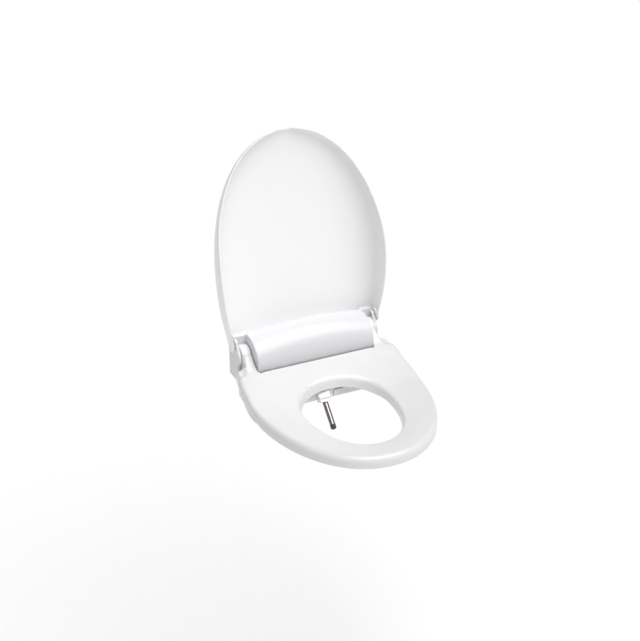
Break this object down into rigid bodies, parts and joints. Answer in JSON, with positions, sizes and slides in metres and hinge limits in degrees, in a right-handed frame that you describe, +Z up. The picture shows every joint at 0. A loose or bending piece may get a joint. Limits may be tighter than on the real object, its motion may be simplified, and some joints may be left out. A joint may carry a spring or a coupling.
{
  "type": "electric bidet seat",
  "caption": "Round-front electric bidet toilet seat with hinged lid and heated seat ring, a housing bolted to the bowl and a sliding wash wand.",
  "frame": {"origin": "midway between the two bowl bolt holes, on the plane the base stands on", "axes": "+X to the right seen from the front, -Y to the front, +Z up"},
  "size_m": [0.3854, 0.5394, 0.5768],
  "materials": {
    "board_green": "coated circuit board",
    "brass": "plain brass",
    "dark_plastic": "dark moulded plastic",
    "dark_rubber": "soft black rubber",
    "foil": "foil",
    "gear_white": "acetal",
    "grey_rubber": "soft grey rubber",
    "hose": "silicone hose",
    "plate_steel": "coated steel",
    "polished_steel": "polished stainless steel",
    "steel": "plain steel",
    "valve_blue": "moulded plastic",
    "white_case": "glossy moulded white plastic",
    "white_gloss": "glossy moulded white plastic",
    "white_inner": "moulded white plastic"
  },
  "bodies": {
    "housing": {"mounting_plate": "plate_steel", "bolt_adjusters": "dark_plastic", "base_tray": "white_case", "base_feet": "dark_rubber", "drain_plug": "white_case", "cable_gland": "dark_plastic", "water_inlet": "brass", "inlet_strainer": "steel", "case_screws": "steel", "top_cover": "white_case", "cover_end_walls": "white_case", "cover_shoulders": "white_case", "cover_end_caps": "white_case", "seat_hinge_pins": "steel", "lid_hinge_pins": "steel", "damper_bodies": "dark_plastic", "water_tank": "white_inner", "tank_heater": "brass", "solenoid_valve": "valve_blue", "mixing_valve": "white_inner", "air_pump": "dark_plastic", "inner_hoses": "hose", "control_board": "board_green", "board_posts": "white_inner", "board_parts": "dark_plastic", "power_module": "dark_plastic", "blower_housing": "dark_plastic", "blower_motor": "steel", "dryer_heater": "brass", "dryer_duct": "white_inner", "deodoriser_filter": "dark_plastic", "wand_rail": "white_inner", "wand_hood": "white_case", "wand_motor": "steel", "release_spring_seat": "steel"},
    "seat": {"seat_top_shell": "white_gloss", "seat_ears": "white_gloss", "seat_bottom_shell": "white_case", "seat_heater": "foil", "seat_sensor": "dark_plastic", "seat_bumpers": "grey_rubber", "seat_hinge_bushes": "gear_white"},
    "lid": {"lid_shell": "white_gloss", "lid_hinge_bushes": "gear_white"},
    "wand": {"wand_tube": "polished_steel", "wand_tip": "dark_plastic", "wand_carriage": "dark_plastic"},
    "pinion": {"wand_pinion": "gear_white"},
    "gate": {"wand_gate": "white_case"},
    "flap": {"dryer_flap": "white_case"},
    "fan": {"dryer_fan": "dark_plastic"},
    "release": {"release_button": "white_case"},
    "power": {"power_button": "white_case"},
    "wash": {"wash_button": "white_case"}
  },
  "joints": [
    {"name": "seat_hinge", "type": "hinge", "parent": "housing", "child": "seat", "pos_m": [0, 0, 0.0823], "axis": [-1, 0, 0], "range_deg": [0, 92]},
    {"name": "lid_hinge", "type": "hinge", "parent": "housing", "child": "lid", "pos_m": [0, 0.007, 0.112], "axis": [-1, 0, 0], "range_deg": [-112, 0]},
    {"name": "wand_slide", "type": "slide", "parent": "housing", "child": "wand", "axis": [-0.0804, -0.8507, -0.5195], "range_m": [-0.072, 0]},
    {"name": "wand_pinion_spin", "type": "hinge", "parent": "housing", "child": "pinion", "pos_m": [0.01139, -0.0519, 0.05132], "axis": [-0.0489, -0.5172, 0.8545], "range_deg": [-459, 1]},
    {"name": "wand_gate_hinge", "type": "hinge", "parent": "housing", "child": "gate", "pos_m": [-0.01483, -0.13065, 0.01186], "axis": [-0.9956, 0.0941, 0], "range_deg": [0, 35], "stiffness_Nm_per_rad": 0.001},
    {"name": "dryer_flap_hinge", "type": "hinge", "parent": "housing", "child": "flap", "pos_m": [0.0375, -0.1124, 0.0172], "axis": [-1, 0, 0], "range_deg": [0, 40], "stiffness_Nm_per_rad": 0.002},
    {"name": "dryer_fan_spin", "type": "hinge", "parent": "housing", "child": "fan", "pos_m": [0.07, 0.014, 0.05], "axis": [1, 0, 0], "continuous": true},
    {"name": "release_button_press", "type": "slide", "parent": "housing", "child": "release", "axis": [-1, 0, 0], "range_m": [0, 0.003], "stiffness_N_per_m": 400},
    {"name": "power_button_press", "type": "slide", "parent": "housing", "child": "power", "axis": [-1, 0, 0], "range_m": [0, 0.0015], "stiffness_N_per_m": 500},
    {"name": "wash_button_press", "type": "slide", "parent": "housing", "child": "wash", "axis": [-1, 0, 0], "range_m": [0, 0.0015], "stiffness_N_per_m": 500}
  ],
  "couplings": [
    {"joint": "wand_pinion_spin", "follows": "wand_slide", "rad_per_m": 111.11}
  ]
}
